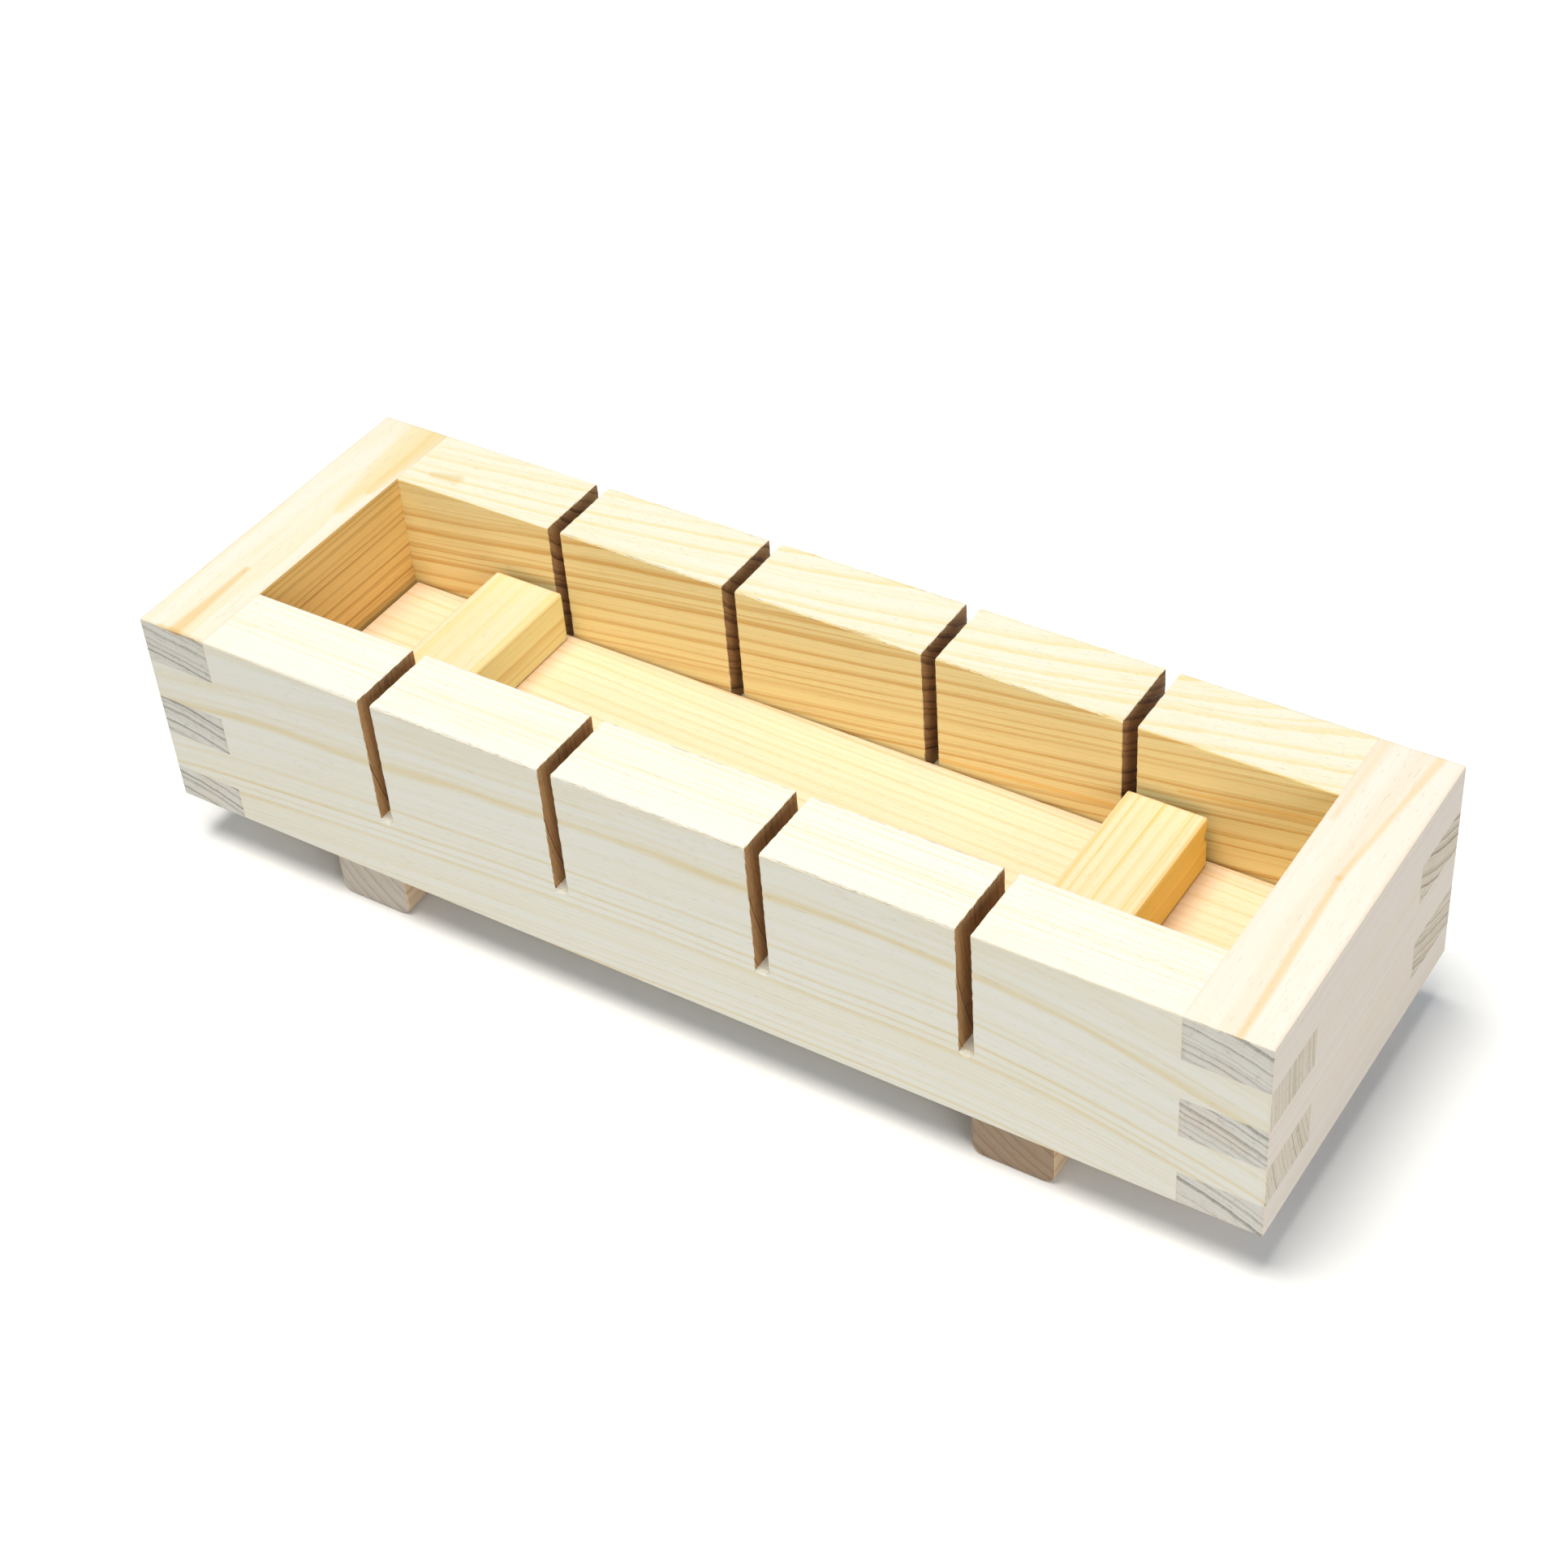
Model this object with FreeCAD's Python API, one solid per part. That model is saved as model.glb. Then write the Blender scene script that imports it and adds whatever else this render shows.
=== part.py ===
"""Wooden press mold: a slotted, finger-jointed frame over a footed base, with a handled press board inside it.

The row frame has its origin on the table under the middle of the frame, +X along the frame, +Z up. Millimetres.
"""

import FreeCAD, Part
import os

# Frame: four boards, finger-jointed at the corners
FRAME_LENGTH = 215.0
FRAME_WIDTH = 70.0
FRAME_HEIGHT = 40.5
END_THICKNESS = 14.5
SIDE_THICKNESS = 15.5

# Corner fingers, from the rim down: the end boards own the 1st, 3rd and 5th, the sides the 2nd and 4th
FIRST_FINGER = 9.0
FINGER_PITCH = 8.2
FINGER_COUNT = 5

# Knife slots sawn down through both sides
SLOT_CENTRES = (-57.65, -20.55, 19.25, 56.75)
SLOT_WIDTH = 2.7
SLOT_FLOOR = 14.2  # above the frame's lower edge

# Base: a board that fills the frame's foot, standing on two cross feet that also carry the frame
FOOT_CENTRES = (-65.7, 63.8)
FOOT_WIDTH = 15.0
FOOT_LENGTH = 67.0
FOOT_HEIGHT = 10.0
FOOT_ROUNDING = 2.2
BASE_THICKNESS = 10.0
BASE_CLEARANCE = 0.4  # on every side, to the frame

# Press: a loose board with two cross handles
PRESS_THICKNESS = 7.5
PRESS_END_CLEARANCE = 0.8
PRESS_SIDE_CLEARANCE = 0.4
HANDLE_CENTRES = (-63.75, 64.55)
HANDLE_WIDTH = 14.5
HANDLE_LENGTH = 36.0
HANDLE_HEIGHT = 10.5
HANDLE_EASING = 0.5

# Blind pegs that pin each foot and handle to its board
PEG_RADIUS = 2.0
PEG_LENGTH = 10.0
PEG_SPACING = 22.0
PEG_DEPTH_IN_BASE = 5.0
PEG_DEPTH_IN_PRESS = 4.0
PEG_END_GAP = 0.3  # left at the bottom of each blind hole, for glue
GLUE_LINE = 0.05  # left round each peg

TOLERANCE = 1e-6

# Worked out from the sizes above
FRAME_FLOOR = FOOT_HEIGHT
FRAME_RIM = FRAME_FLOOR + FRAME_HEIGHT
INNER_LENGTH = FRAME_LENGTH - 2 * END_THICKNESS
INNER_WIDTH = FRAME_WIDTH - 2 * SIDE_THICKNESS
BASE_TOP = FOOT_HEIGHT + BASE_THICKNESS
PRESS_TOP = BASE_TOP + PRESS_THICKNESS
FOOT_PEG_FLOOR = FOOT_HEIGHT + PEG_DEPTH_IN_BASE - PEG_LENGTH
HANDLE_PEG_FLOOR = PRESS_TOP - PEG_DEPTH_IN_PRESS


def block(x_range, y_range, z_range):
    """A box between two values on each axis."""
    size = [high - low for low, high in (x_range, y_range, z_range)]
    corner = FreeCAD.Vector(x_range[0], y_range[0], z_range[0])
    return Part.makeBox(size[0], size[1], size[2], corner)


def centred(middle, width):
    """The two ends of a stretch of this width."""
    return (middle - width / 2, middle + width / 2)


def finger_level(number):
    """The heights between which one corner finger lies. Number 0 is at the rim."""
    cuts = [FRAME_RIM]
    cuts += [FRAME_RIM - FIRST_FINGER - FINGER_PITCH * step for step in range(FINGER_COUNT - 1)]
    cuts.append(FRAME_FLOOR)
    return (cuts[number + 1], cuts[number])


def merged(solids):
    """One solid from several that share faces, without the seams between them."""
    return solids[0].fuse(solids[1:]).removeSplitter()


def side_board(facing):
    """A long side with its slots. Facing is -1 for the front one and 1 for the back one."""
    y_range = sorted((facing * FRAME_WIDTH / 2, facing * INNER_WIDTH / 2))
    stock = [block(centred(0, INNER_LENGTH), y_range, (FRAME_FLOOR, FRAME_RIM))]
    for number in range(1, FINGER_COUNT, 2):
        stock.append(block(centred(0, FRAME_LENGTH), y_range, finger_level(number)))
    depth = (FRAME_FLOOR + SLOT_FLOOR, FRAME_RIM)
    slots = [block(centred(x, SLOT_WIDTH), y_range, depth) for x in SLOT_CENTRES]
    return merged(stock).cut(slots)


def end_board(facing):
    """A short end. Facing is -1 for the left one and 1 for the right one."""
    x_range = sorted((facing * FRAME_LENGTH / 2, facing * INNER_LENGTH / 2))
    stock = [block(x_range, centred(0, INNER_WIDTH), (FRAME_FLOOR, FRAME_RIM))]
    for number in range(0, FINGER_COUNT, 2):
        stock.append(block(x_range, centred(0, FRAME_WIDTH), finger_level(number)))
    return merged(stock)


def upright_pair(x, radius, floor, height):
    """Two upright cylinders side by side across the frame, for pegs and for their holes."""
    places = [FreeCAD.Vector(x, side * PEG_SPACING / 2, floor) for side in (-1, 1)]
    return [Part.makeCylinder(radius, height, place) for place in places]


def peg_holes(x, peg_floor):
    """The blind holes for a pair of pegs that start at this height."""
    return upright_pair(x, PEG_RADIUS + GLUE_LINE, peg_floor - PEG_END_GAP, PEG_LENGTH + 2 * PEG_END_GAP)


def long_edges(solid, height):
    """The edges that run across the frame at one height."""
    found = []
    for edge in solid.Edges:
        box = edge.BoundBox
        level = abs(box.ZMin - height) < TOLERANCE and abs(box.ZMax - height) < TOLERANCE
        if level and box.YLength > box.XLength:
            found.append(edge)
    return found


def foot(x):
    """A cross foot with rounded lower edges."""
    solid = block(centred(x, FOOT_WIDTH), centred(0, FOOT_LENGTH), (0, FOOT_HEIGHT))
    solid = solid.makeFillet(FOOT_ROUNDING, long_edges(solid, 0))
    return solid.cut(peg_holes(x, FOOT_PEG_FLOOR))


def handle(x):
    """A cross handle with eased upper edges."""
    top = PRESS_TOP + HANDLE_HEIGHT
    solid = block(centred(x, HANDLE_WIDTH), centred(0, HANDLE_LENGTH), (PRESS_TOP, top))
    solid = solid.makeFillet(HANDLE_EASING, long_edges(solid, top))
    return solid.cut(peg_holes(x, HANDLE_PEG_FLOOR))


def base_board():
    """The board that the food is pressed on, drilled from below for the feet's pegs."""
    length = INNER_LENGTH - 2 * BASE_CLEARANCE
    width = INNER_WIDTH - 2 * BASE_CLEARANCE
    solid = block(centred(0, length), centred(0, width), (FOOT_HEIGHT, BASE_TOP))
    for x in FOOT_CENTRES:
        solid = solid.cut(peg_holes(x, FOOT_PEG_FLOOR))
    return solid


def press_board():
    """The loose board that presses down, drilled from above for the handles' pegs."""
    length = INNER_LENGTH - 2 * PRESS_END_CLEARANCE
    width = INNER_WIDTH - 2 * PRESS_SIDE_CLEARANCE
    solid = block(centred(0, length), centred(0, width), (BASE_TOP, PRESS_TOP))
    for x in HANDLE_CENTRES:
        solid = solid.cut(peg_holes(x, HANDLE_PEG_FLOOR))
    return solid


def pegs(x, peg_floor):
    """The two pegs between one foot or handle and its board."""
    return Part.makeCompound(upright_pair(x, PEG_RADIUS, peg_floor, PEG_LENGTH))


def all_nodes():
    """Every sub-part by its node name."""
    nodes = {
        "front_side": side_board(-1),
        "back_side": side_board(1),
        "left_end": end_board(-1),
        "right_end": end_board(1),
        "base_board": base_board(),
        "press_board": press_board(),
    }
    for side, foot_x, handle_x in zip(("left", "right"), FOOT_CENTRES, HANDLE_CENTRES):
        nodes[f"{side}_foot"] = foot(foot_x)
        nodes[f"{side}_foot_pegs"] = pegs(foot_x, FOOT_PEG_FLOOR)
        nodes[f"{side}_handle"] = handle(handle_x)
        nodes[f"{side}_handle_pegs"] = pegs(handle_x, HANDLE_PEG_FLOOR)
    return nodes


os.makedirs("parts", exist_ok=True)
for name, shape in all_nodes().items():
    shape.exportStep(f"parts/{name}.step")
    print(f"{name}: {len(shape.Solids)} solid(s), {shape.Volume / 1000:.2f} cm3, valid {shape.isValid()}")
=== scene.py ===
"""Looks of a slotted wooden press mold: a finger-jointed frame, a footed base and a press board with handles.

Every piece is cut from one block of softwood. Meshes are in metres, in the row frame. Growth rings and
finishes are laid out in millimetres of the same frame.
"""

import logging
import math
import random
from dataclasses import dataclass
from enum import Enum
from typing import Any, Iterable, Sequence, Union

import bmesh
import bpy
from mathutils import Matrix, Vector


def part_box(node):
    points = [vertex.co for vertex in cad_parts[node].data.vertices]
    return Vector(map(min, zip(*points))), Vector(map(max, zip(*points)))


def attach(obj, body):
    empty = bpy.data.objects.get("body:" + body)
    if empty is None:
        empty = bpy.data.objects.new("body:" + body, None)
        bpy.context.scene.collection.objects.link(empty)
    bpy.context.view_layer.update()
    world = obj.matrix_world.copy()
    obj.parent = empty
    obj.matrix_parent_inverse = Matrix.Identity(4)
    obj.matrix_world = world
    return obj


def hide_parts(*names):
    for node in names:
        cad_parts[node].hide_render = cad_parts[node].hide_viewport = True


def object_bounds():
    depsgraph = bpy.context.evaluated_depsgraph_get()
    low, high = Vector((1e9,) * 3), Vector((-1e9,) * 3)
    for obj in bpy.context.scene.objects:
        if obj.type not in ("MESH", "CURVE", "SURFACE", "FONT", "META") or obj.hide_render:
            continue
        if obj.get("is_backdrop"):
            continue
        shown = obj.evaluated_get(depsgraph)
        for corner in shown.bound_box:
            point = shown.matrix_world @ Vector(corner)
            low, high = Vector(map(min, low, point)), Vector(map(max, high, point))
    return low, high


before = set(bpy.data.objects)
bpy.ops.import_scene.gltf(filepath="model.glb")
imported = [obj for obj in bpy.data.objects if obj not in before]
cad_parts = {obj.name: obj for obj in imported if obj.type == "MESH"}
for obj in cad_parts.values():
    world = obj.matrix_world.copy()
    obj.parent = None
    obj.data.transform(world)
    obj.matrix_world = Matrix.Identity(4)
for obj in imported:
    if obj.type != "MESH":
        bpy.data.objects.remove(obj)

MM = 0.001
TINY = 1e-5

log = logging.getLogger("press_mold")

Colour = tuple[float, float, float]
Point = tuple[float, float, float]
Number = Union[float, "Field"]


# ---------------------------------------------------------------- shader arithmetic


class Field:
    """A number that changes over a surface: one node socket, whose arithmetic adds Math nodes."""

    def __init__(self, recipe: "Recipe", socket: bpy.types.NodeSocket) -> None:
        """Wraps one output socket of a recipe's node tree."""
        self.recipe = recipe
        self.socket = socket

    def __add__(self, other: Number) -> "Field":
        """Sum."""
        return self.recipe.math("ADD", self, other)

    def __sub__(self, other: Number) -> "Field":
        """Difference."""
        return self.recipe.math("SUBTRACT", self, other)

    def __rsub__(self, other: Number) -> "Field":
        """Difference, with this field taken away."""
        return self.recipe.math("SUBTRACT", other, self)

    def __mul__(self, other: Number) -> "Field":
        """Product."""
        return self.recipe.math("MULTIPLY", self, other)

    def __truediv__(self, other: Number) -> "Field":
        """Quotient."""
        return self.recipe.math("DIVIDE", self, other)

    def __pow__(self, other: Number) -> "Field":
        """Power."""
        return self.recipe.math("POWER", self, other)

    def __abs__(self) -> "Field":
        """Size without sign."""
        return self.recipe.math("ABSOLUTE", self)

    def floor(self) -> "Field":
        """The whole number below."""
        return self.recipe.math("FLOOR", self)

    def fraction(self) -> "Field":
        """What is left above the whole number below."""
        return self.recipe.math("FRACT", self)

    __radd__ = __add__
    __rmul__ = __mul__


def lesser(a: Number, b: Number) -> Number:
    """The smaller of two numbers or fields.

    Args:
        a: One of them.
        b: The other.

    Returns:
        The smaller one.
    """
    if isinstance(a, Field):
        return a.recipe.math("MINIMUM", a, b)
    return min(a, b)


def greater(a: Number, b: Number) -> Number:
    """The larger of two numbers or fields.

    Args:
        a: One of them.
        b: The other.

    Returns:
        The larger one.
    """
    if isinstance(a, Field):
        return a.recipe.math("MAXIMUM", a, b)
    return max(a, b)


def opaque(colour: Any) -> Any:
    """A linear RGB colour with its alpha of 1, or the socket that was given."""
    return (*colour, 1.0) if isinstance(colour, tuple) else colour


class Recipe:
    """The node tree of one material or world, with short calls that add to it."""

    MIX_FACTOR, MIX_A, MIX_B, MIX_RESULT = 0, 6, 7, 2

    def __init__(self, owner: bpy.types.Material | bpy.types.World) -> None:
        """Starts with an empty tree.

        Args:
            owner: The material or world.
        """
        owner.use_nodes = True
        self.tree = owner.node_tree
        self.tree.nodes.clear()

    def add(self, kind: str, settings: dict[str, Any], inputs: dict[Any, Any]) -> bpy.types.Node:
        """Adds a node.

        Args:
            kind: The node's type.
            settings: Its properties, set before anything else.
            inputs: A value, a field or a socket for each of its input sockets, by name or number.

        Returns:
            The new node.
        """
        node = self.tree.nodes.new(kind)
        for name, value in settings.items():
            setattr(node, name, value)
        for key, value in inputs.items():
            source = value.socket if isinstance(value, Field) else value
            if isinstance(source, bpy.types.NodeSocket):
                self.tree.links.new(source, node.inputs[key])
            else:
                node.inputs[key].default_value = source
        return node

    def math(self, operation: str, *values: Number) -> Field:
        """A Math node on one or more values."""
        node = self.add("ShaderNodeMath", {"operation": operation}, dict(enumerate(values)))
        return Field(self, node.outputs[0])

    def vector_math(self, operation: str, *values: Any) -> bpy.types.Node:
        """A Vector Math node on one or more vectors."""
        return self.add("ShaderNodeVectorMath", {"operation": operation}, dict(enumerate(values)))

    def rise(self, value: Field, low: float, high: float) -> Field:
        """A smooth step between two levels. With low above high it falls instead.

        Args:
            value: What steps.
            low: Where the step is 0.
            high: Where it is 1.

        Returns:
            The step.
        """
        inputs = {"Value": value, "From Min": low, "From Max": high}
        node = self.add("ShaderNodeMapRange", {"interpolation_type": "SMOOTHSTEP"}, inputs)
        return Field(self, node.outputs["Result"])

    def noise(self, vector: bpy.types.NodeSocket, detail: float = 2.0, seed: float = 0.0) -> Field:
        """Soft noise from 0 to 1, about one lump per unit of the vector.

        Args:
            vector: Where the noise is read.
            detail: How many finer layers it has.
            seed: Which pattern it is.

        Returns:
            The noise as a field.
        """
        inputs = {"Vector": vector, "W": seed, "Scale": 1.0, "Detail": detail, "Roughness": 0.55}
        node = self.add("ShaderNodeTexNoise", {"noise_dimensions": "4D"}, inputs)
        return Field(self, node.outputs[0])

    def line_noise(self, place: Field, detail: float = 1.0) -> Field:
        """Soft noise along one number.

        Args:
            place: The number.
            detail: How many finer layers it has.

        Returns:
            The noise, from 0 to 1.
        """
        inputs = {"W": place, "Scale": 1.0, "Detail": detail}
        node = self.add("ShaderNodeTexNoise", {"noise_dimensions": "1D"}, inputs)
        return Field(self, node.outputs[0])

    def lot(self, whole: Field) -> Field:
        """A fixed value from 0 to 1 drawn for each whole number."""
        node = self.add("ShaderNodeTexWhiteNoise", {"noise_dimensions": "1D"}, {"W": whole})
        return Field(self, node.outputs["Value"])

    def mix(self, a: Any, b: Any, factor: Number, mode: str = "MIX") -> bpy.types.NodeSocket:
        """Mixes two colours.

        Args:
            a: The colour at factor 0, as a socket or linear RGB.
            b: The colour at factor 1.
            factor: How much of b there is.
            mode: The mixing mode.

        Returns:
            The mixed colour's socket.
        """
        settings = {"data_type": "RGBA", "blend_type": mode, "clamp_factor": True}
        inputs = {self.MIX_FACTOR: factor, self.MIX_A: opaque(a), self.MIX_B: opaque(b)}
        return self.add("ShaderNodeMix", settings, inputs).outputs[self.MIX_RESULT]

    def parts(self, vector: bpy.types.NodeSocket) -> list[Field]:
        """The three components of a vector."""
        node = self.add("ShaderNodeSeparateXYZ", {}, {0: vector})
        return [Field(self, socket) for socket in node.outputs]

    def vector(self, *values: Number) -> bpy.types.NodeSocket:
        """A vector from three numbers or fields."""
        return self.add("ShaderNodeCombineXYZ", {}, dict(enumerate(values))).outputs[0]

    def both(self, a: bpy.types.Node, b: bpy.types.Node, factor: Any) -> bpy.types.Node:
        """Mixes two shaders: a at factor 0 and b at 1."""
        return self.add("ShaderNodeMixShader", {}, {0: factor, 1: a.outputs[0], 2: b.outputs[0]})

    def surface(
        self,
        colour: Any,
        roughness: Number,
        height: Field,
        relief: float,
        shine: float,
        clear: Field | None = None,
    ) -> None:
        """Ends the recipe with its shader.

        Args:
            colour: The base colour.
            roughness: The roughness.
            height: The height of the fine relief, from 0 to 1.
            relief: What a height of 1 stands for, in metres.
            shine: The specular level.
            clear: How far the surface has faded away, from 0 to 1, or None if it is whole.
        """
        bump = self.add("ShaderNodeBump", {}, {"Height": height, "Distance": relief, "Strength": 1.0})
        inputs = {
            "Base Color": opaque(colour),
            "Roughness": roughness,
            "Specular IOR Level": shine,
            "Normal": bump.outputs[0],
        }
        shader = self.add("ShaderNodeBsdfPrincipled", {}, inputs)
        if clear is not None:
            shader = self.both(shader, self.add("ShaderNodeBsdfTransparent", {}, {}), clear)
        self.add("ShaderNodeOutputMaterial", {}, {"Surface": shader.outputs[0]})


# ---------------------------------------------------------------- wood


class Grain(Enum):
    """Which way a piece's fibres run: the row frame's axes for along, sideways and up."""

    LENGTHWISE = (0, 1, 2)
    CROSSWISE = (1, 0, 2)
    UPRIGHT = (2, 0, 1)


@dataclass(frozen=True)
class Rings:
    """How growth rings lie in a piece, in millimetres of the row frame.

    The pith is the log's centre line, given by its sideways and up places at the middle of the grain. The
    lean is how far it moves each way per millimetre along the grain. The bow lifts the rings on both sides of
    a crest. The rings are counted so that one begins at the point that they pass through. The late wood
    starts at that share of each ring, and the fine lines lie between.
    """

    pith: tuple[float, float]
    spacing: float
    through: Point
    lean: tuple[float, float] = (0.0, 0.0)
    crest: float = 0.0
    bow: tuple[float, float] = (0.0, 0.0)
    waver: float = 0.8
    late: float = 0.45
    fine: float = 0.3
    seed: float = 0.0

    def straightened(self, along: Number, sideways: Number, up: Number) -> tuple[Number, Number]:
        """How far a point lies sideways of the pith and above it, with the lean and bow taken out.

        Args:
            along: Place along the grain.
            sideways: Place across it.
            up: Height.

        Returns:
            Both distances, as numbers or fields, like what it was given.
        """
        before = lesser(along - self.crest, 0.0)
        after = greater(along - self.crest, 0.0)
        lift = before * before * self.bow[0] + after * after * self.bow[1]
        across = sideways - self.pith[0] - along * self.lean[0]
        height = up - self.pith[1] - along * self.lean[1] + lift
        return across, height


@dataclass(frozen=True)
class Streak:
    """A resin streak, stain, small knot or painted shade: a tapered band between two points, in millimetres.

    The widths are half widths at its start and end. The flatness squeezes it upwards.
    """

    start: Point
    end: Point
    widths: tuple[float, float]
    colour: Colour
    strength: float = 0.8
    flatness: float = 2.0


@dataclass(frozen=True)
class Tone:
    """The linear colours of a wood surface: the pale early wood and the dark late wood of each ring."""

    early: Colour
    late: Colour


FRONT_OUTSIDE = Tone((0.655, 0.635, 0.555), (0.62, 0.525, 0.325))
BACK_OUTSIDE = Tone((0.61, 0.59, 0.475), (0.635, 0.52, 0.29))
LEFT_OUTSIDE = Tone((0.615, 0.58, 0.485), (0.62, 0.54, 0.36))
RIGHT_OUTSIDE = Tone((0.675, 0.595, 0.515), (0.63, 0.55, 0.44))
# The BOUNCE_LIT_INSIDE tones are warmer and more orange than the boards' outsides: painted warm bounce light
# on the frame's inner faces. The left end's inner tone is also darker: painted shade.
BOUNCE_LIT_INSIDE = Tone((0.87, 0.74, 0.365), (0.68, 0.435, 0.137))
BOUNCE_LIT_LEFT_INSIDE = Tone((0.82, 0.58, 0.21), (0.52, 0.29, 0.075))
GREY_ENDS = Tone((0.585, 0.555, 0.495), (0.25, 0.235, 0.20))
BROWN_ENDS = Tone((0.62, 0.54, 0.435), (0.30, 0.24, 0.165))
SAWN = Tone((0.46, 0.26, 0.105), (0.16, 0.075, 0.024))
PRESS_FACE = Tone((0.77, 0.59, 0.42), (0.69, 0.485, 0.265))
# The handles' SIDE tones go on their right faces: painted warm bounce light, strongest on the right handle.
LEFT_HANDLE_FACE = Tone((0.78, 0.55, 0.355), (0.74, 0.50, 0.19))
BOUNCE_LIT_LEFT_HANDLE_SIDE = Tone((0.87, 0.79, 0.385), (0.76, 0.58, 0.24))
RIGHT_HANDLE_FACE = Tone((0.78, 0.56, 0.36), (0.72, 0.45, 0.16))
BOUNCE_LIT_RIGHT_HANDLE_SIDE = Tone((0.94, 0.66, 0.17), (0.79, 0.48, 0.095))
FOOT_FACE = Tone((0.60, 0.45, 0.30), (0.44, 0.28, 0.15))
LEFT_FOOT_ENDS = Tone((0.49, 0.43, 0.36), (0.36, 0.30, 0.235))
RIGHT_FOOT_ENDS = Tone((0.32, 0.225, 0.15), (0.23, 0.15, 0.09))


@dataclass(frozen=True)
class Softwood:
    """A planed, unvarnished softwood piece: its rings, colours, fibres, streaks and worn edges.

    Inward is the axis and sign of the face that has the inner tone, or None for a piece without one. The
    inner tone is painted warm bounce light. The kerf reach is how far along the grain the saw-cut walls lie,
    which sets them apart from the ends.
    """

    name: str
    grain: Grain
    rings: Rings
    face: Tone
    ends: Tone = GREY_ENDS
    # The inner tone, on the inward face, is painted warm bounce light.
    inner: Tone = BOUNCE_LIT_INSIDE
    inward: tuple[int, int] | None = None
    kerf_reach: float = 0.0
    threads: float = 0.35
    streaks: tuple[Streak, ...] = ()

    FIBRES = (26.0, 0.33)
    THREADS = (85.0, 1.1)
    PATCHES = (45.0, 9.0)
    FLECKS = (2.2, 0.22)
    SLOW_WAVES = (70.0, 16.0)
    QUICK_WAVES = (18.0, 3.0)
    FACING = (0.6, 0.9)
    YELLOWED = (1.0, 0.93, 0.78)
    FIBRE_SHADE = (0.86, 0.80, 0.72)
    FLECK_SHADE = (0.62, 0.52, 0.42)
    RUBBED = (0.93, 0.86, 0.76)
    RUBBED_REACH = (1.3, 0.3)
    RELIEF = 0.04 * MM
    SHINE = 0.32

    def material(self, low: Vector, high: Vector) -> bpy.types.Material:
        """Builds the node material.

        Args:
            low: The piece's lowest corner, in metres.
            high: Its highest corner.

        Returns:
            The material.
        """
        finish = bpy.data.materials.new(self.name)
        recipe = Recipe(finish)
        source = recipe.add("ShaderNodeTexCoord", {}, {})
        scaled = {"Vector": source.outputs["Object"], "Scale": (1 / MM, 1 / MM, 1 / MM)}
        place = recipe.add("ShaderNodeMapping", {}, scaled).outputs[0]
        axes = recipe.parts(place)
        facing = recipe.parts(source.outputs["Normal"])
        along, sideways, up = (axes[i] for i in self.grain.value)

        spot = (along, *self.rings.straightened(along, sideways, up))
        fibre = self._stretched(recipe, spot, self.FIBRES, 3.0)
        thread = self._stretched(recipe, spot, self.THREADS, 3.0)
        ring = self._ring(recipe, spot) * (fibre * 1.3 + 0.35)
        ring = lesser(ring + recipe.rise(thread, 0.5, 0.78) * self.threads, 1.0)
        patch = self._stretched(recipe, spot, self.PATCHES, 2.0)
        fleck = recipe.rise(self._stretched(recipe, spot, self.FLECKS, 1.0), 0.66, 0.74)
        end = recipe.rise(abs(facing[self.grain.value[0]]), *self.FACING)
        pores = recipe.noise(place, 2.0, 5.0)

        colour = self._tone(recipe, self.face, ring)
        # Painted warm bounce light: the inward face takes the warmer inner tone.
        if self.inward:
            axis, sign = self.inward
            inner = recipe.rise(facing[axis] * sign, *self.FACING)
            colour = recipe.mix(colour, self._tone(recipe, self.inner, ring), inner)
        colour = recipe.mix(colour, self._tone(recipe, self.ends, ring), end)
        if self.kerf_reach:
            inside = recipe.rise(abs(along), self.kerf_reach, self.kerf_reach - 1.0)
            colour = recipe.mix(colour, self._tone(recipe, SAWN, ring), end * inside)
        colour = recipe.mix(colour, self.YELLOWED, recipe.rise(patch, 0.42, 0.8) * 0.4, "MULTIPLY")
        colour = recipe.mix(colour, self.FIBRE_SHADE, recipe.rise(fibre, 0.5, 0.85) * 0.4, "MULTIPLY")
        colour = recipe.mix(colour, self.FLECK_SHADE, fleck * (1 - end) * 0.25, "MULTIPLY")
        for streak in self.streaks:
            colour = self._streaked(recipe, colour, streak, place, patch * 0.6 + fibre * 0.4)
        worn = self._worn(recipe, axes, low, high, patch)
        colour = recipe.mix(colour, self.RUBBED, worn * 0.5, "MULTIPLY")

        roughness = 0.62 - ring * 0.08 + fibre * 0.1 + end * 0.12 - worn * 0.1
        relief = fibre * 0.7 + ring * 0.5 - fleck * 0.6 + pores * end * 0.8
        recipe.surface(colour, roughness, relief, self.RELIEF, self.SHINE)
        return finish

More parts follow.
